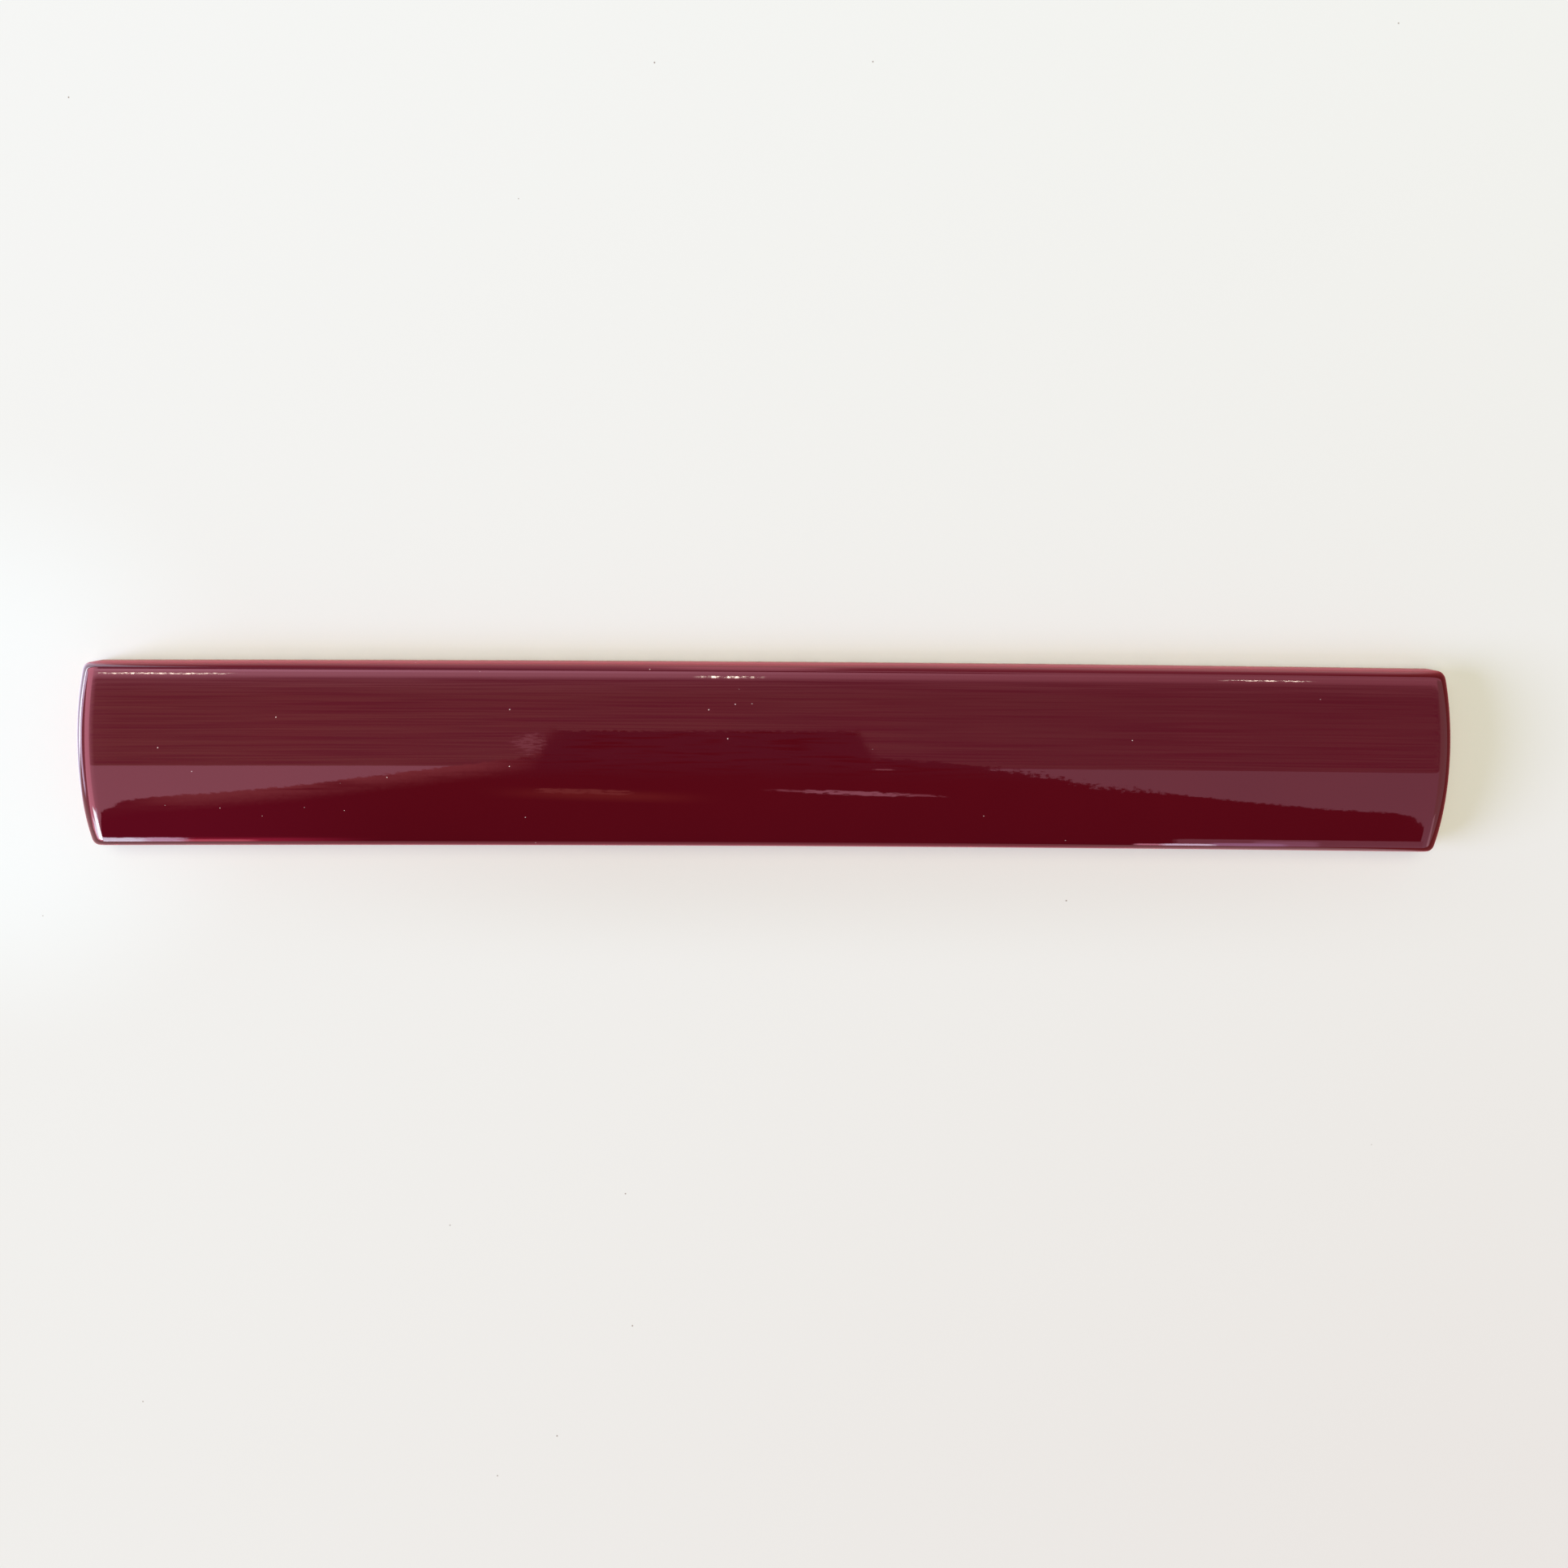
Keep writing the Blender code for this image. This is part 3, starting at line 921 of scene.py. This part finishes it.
# %% Light cards
CARDS = {
    "left panel": ((-560, -356, 14), (-80, -47, 4), 0.0, 0.0, (18.0, 18.0, 19.5)),
    "left panel's far half": ((-760, -560, 30), (-82, -62, 5), 0.0, 0.0, (10.0, 9.0, 11.0)),
    "left panel's frame": ((-376, -338, 12), (-52, -43, 4), 0.0, 0.3, (5.4, 3.4, 4.6)),
    "red glow": ((-300, -205, 60), (-120, -68, 8), 0.0, 0.0, (2.3, 0.12, 0.36)),
    "left strip's end": ((-275, -236, 22), (-120, -74, 6), 0.0, 0.2, (5.0, 0.85, 1.3)),
    "left strip": ((-345, -268, 20), (-120, -66.5, 4), 0.0, 0.8, (6.4, 4.0, 5.8)),
    "left strip's peak": ((-345, -286, 20), (-120, -67, 4), 0.0, 1.0, (9.3, 8.8, 10.8)),
    "right strip's end": ((195, 335, 12), (-120, -63.4, 1.4), 0.0, 0.2, (1.05, 0.50, 0.70)),
    "right strip": ((232, 262, 16), (-120, -64.4, 2), 0.0, 0.2, (2.0, 0.95, 1.5)),
    "right strip's middle": ((212, 246, 16), (-120, -70, 4), 0.0, 0.2, (3.0, 1.60, 2.8)),
    "right strip's start": ((176, 192, 8), (-120, -77, 5), 0.0, 0.3, (5.0, 2.0, 2.8)),
    "right strip's peak": ((189, 213, 14), (-120, -75.5, 5), 0.0, 0.3, (7.8, 6.2, 8.2)),
    "right post": ((520, 700, 90), (-90, -50, 6), 0.0, 0.3, (2.4, 1.3, 1.6)),
    "slanted strip's tails": ((4, 86, 30), (-30.6, -29.2, 1.2), -0.046, 1.2, (1.7, 0.6, 0.85)),
    "slanted strip": ((22, 68, 26), (-31.4, -28.6, 2.2), -0.046, 1.4, (2.8, 1.15, 1.6)),
    "brown haze": ((-112, -40, 50), (-40, -34.5, 6), -0.04, 0.0, (0.65, 0.13, 0.10)),
    "brown haze's edge": ((-104, -62, 18), (-36.6, -33.4, 2.4), -0.04, 1.3, (1.20, 0.32, 0.28)),
    "short strip": ((54, 62, 5), (-13.8, -13.0, 0.7), 0.0, 0.2, (2.0, 0.8, 1.0)),
    "pale patch": ((-116, -104, 14), (-2, 9, 14), 0.0, 1.6, (1.7, 0.68, 0.88)),
}
BULB_ROWS = [((-311, -258), (51.6, 55.6)), ((-27, -4), (49.2, 51.8)), ((226, 259), (51.0, 55.0))]
BULB_LIGHT = (46.0, 39.0, 32.0, 1.0)
BULB_CELL = (1.4, 6.0)
BULB_SOFT = 1.2
DASH_EDGES = (0.50, 0.62)
RAGGED_CELL = (4.0, 1.2)
RAGGED_GAIN = 4.0
RAGGED_EDGES = (0.25, 0.75)
LEAN_FROM = 42.0

ragged = stretched_noise(RAGGED_CELL, 2.0, 0.0) - 0.5
for name, (spread, rise, lean, raggedness, light) in CARDS.items():
    leaning = across - (along - LEAN_FROM) * lean
    mask = band(along, *spread) * band(leaning, *rise)
    if raggedness:
        mask = step_up(mask * (1 + ragged * (raggedness * RAGGED_GAIN)), *RAGGED_EDGES)
    colour = laid_over(colour, (*light, 1.0), mask)

dashes = step_up(stretched_noise(BULB_CELL, 1.0, 7.0), *DASH_EDGES)
for (start, stop), rise in BULB_ROWS:
    row = band(along, start, stop, (stop - start) / 2) * band(across, *rise, BULB_SOFT)
    colour = laid_over(colour, BULB_LIGHT, row * dashes)
print("cards:", ", ".join(CARDS), "and", len(BULB_ROWS), "rows of bulbs")

# %% [markdown]
# The tent's foot. Where the tent meets the table, a dull strip runs along the rear, with a dark seam on it.
# A low bright card stands at the left end and a dull one at the right. Light that has already lit the table
# doesn't pick the cards up again, so their colour stays in the glaze and doesn't spill onto the sheet.

# %% Foot of the tent
FOOT_STRIP = ((0.90, 0.36, 0.60, 1.0), (1.90, 0.66, 0.90, 1.0))
FOOT_STRIP_TO_RIGHT = (-160.0, 20.0)
FOOT_STRIP_ACROSS = (76.0, 79.0)
FOOT_STRIP_START = (-330.0, -318.0)
FOOT_SEAM = (0.45, 0.08, 0.18, 1.0)
FOOT_SEAM_ACROSS = (78.5, 83.5, 2.0)
FOOT_SEAM_ALONG = (-302.0, 120.0, 40.0)
LOW_CARD_LEFT = (5.6, 4.4, 6.2, 1.0)
LOW_CARD_RIGHT = (0.80, 0.45, 0.50, 1.0)
LOW_CARD_TOP = (190.0, 270.0)
LOW_CARD_FRONT = (-400.0, -280.0)
END_MARGIN = 2.0

at_end = TENT_HALF_LENGTH / MM - END_MARGIN
is_left_end = along.math("LESS_THAN", -at_end)
is_right_end = along.math("GREATER_THAN", at_end)
foot_strip = laid_over(*FOOT_STRIP, step_up(along, *FOOT_STRIP_TO_RIGHT))
on_foot_strip = step_up(across, *FOOT_STRIP_ACROSS) * step_up(along, *FOOT_STRIP_START)
on_seam = band(across, *FOOT_SEAM_ACROSS) * band(along, *FOOT_SEAM_ALONG)
colour = laid_over(colour, foot_strip, on_foot_strip)
colour = laid_over(colour, FOOT_SEAM, on_seam)
low_down = 1 - step_up(height, *LOW_CARD_TOP)
low_left = low_down * is_left_end * step_up(tent_y / MM, *LOW_CARD_FRONT)
colour = laid_over(colour, LOW_CARD_LEFT, low_left)
colour = laid_over(colour, LOW_CARD_RIGHT, low_down * is_right_end)

# The cards glow: the tent's colour is a painted reflection, seen only by mirror rays.
after_table = wire(tree, "ShaderNodeLightPath", "Diffuse Depth").math("GREATER_THAN", 0.5)
emission = add_node(tree, "ShaderNodeEmission", {"Color": colour, "Strength": 1 - after_table})
output = add_node(tree, "ShaderNodeOutputMaterial")
tree.links.new(emission.outputs[0], output.inputs["Surface"])
print("tent material has", len(tree.nodes), "nodes")

# %% [markdown]
# Light. Together the lamps and the sky give the table one whole share of white light, so that a colour
# renders as it is written. Most comes down softly from overhead, some is the open sky, and the rest is cool
# light from a side lamp at the left, which throws the faint warm shadow to the right of the tile. Suns keep
# the light even over the whole table, and a wide angle makes them soft.

# %% Sky and suns
SKY_SHARE = (0.26, 0.26, 0.27)
HORIZON = (0.88, 0.87, 0.85, 1.0)
OVERHEAD_SHARE = (0.56, 0.54, 0.40)
OVERHEAD_FROM = (-0.08, 0.085, 1.0)
OVERHEAD_WIDTH = 50
SIDE_SHARE = (0.18, 0.20, 0.33)
SIDE_FROM = (-0.85, -0.14, 0.49)
SIDE_WIDTH = 30

world = bpy.data.worlds.new("studio")
bpy.context.scene.world = world
world.use_nodes = True
sky_tree = world.node_tree
background = sky_tree.nodes["Background"]
is_camera = wire(sky_tree, "ShaderNodeLightPath", "Is Camera Ray")
plug(sky_tree, laid_over((*SKY_SHARE, 1.0), HORIZON, is_camera), background.inputs["Color"])
background.inputs["Strength"].default_value = 1.0


def add_sun(name, share, source, width):
    """A soft sun that shines from a direction and gives a level table this share of white light."""
    data = bpy.data.lights.new(name, "SUN")
    length = math.sqrt(sum(value * value for value in source))
    rise = source[2] / length
    strongest = max(share)
    data.energy = math.pi * strongest / rise
    data.color = [value / strongest for value in share]
    data.angle = math.radians(width)
    sun = bpy.data.objects.new(name, data)
    sun.rotation_euler = (math.acos(rise), 0.0, math.atan2(source[0], -source[1]))
    sun.visible_glossy = False
    bpy.context.scene.collection.objects.link(sun)
    print(name, "energy", round(data.energy, 2))


add_sun("overhead_light", OVERHEAD_SHARE, OVERHEAD_FROM, OVERHEAD_WIDTH)
add_sun("side_light", SIDE_SHARE, SIDE_FROM, SIDE_WIDTH)
bpy.context.scene.view_settings.view_transform = "Standard"
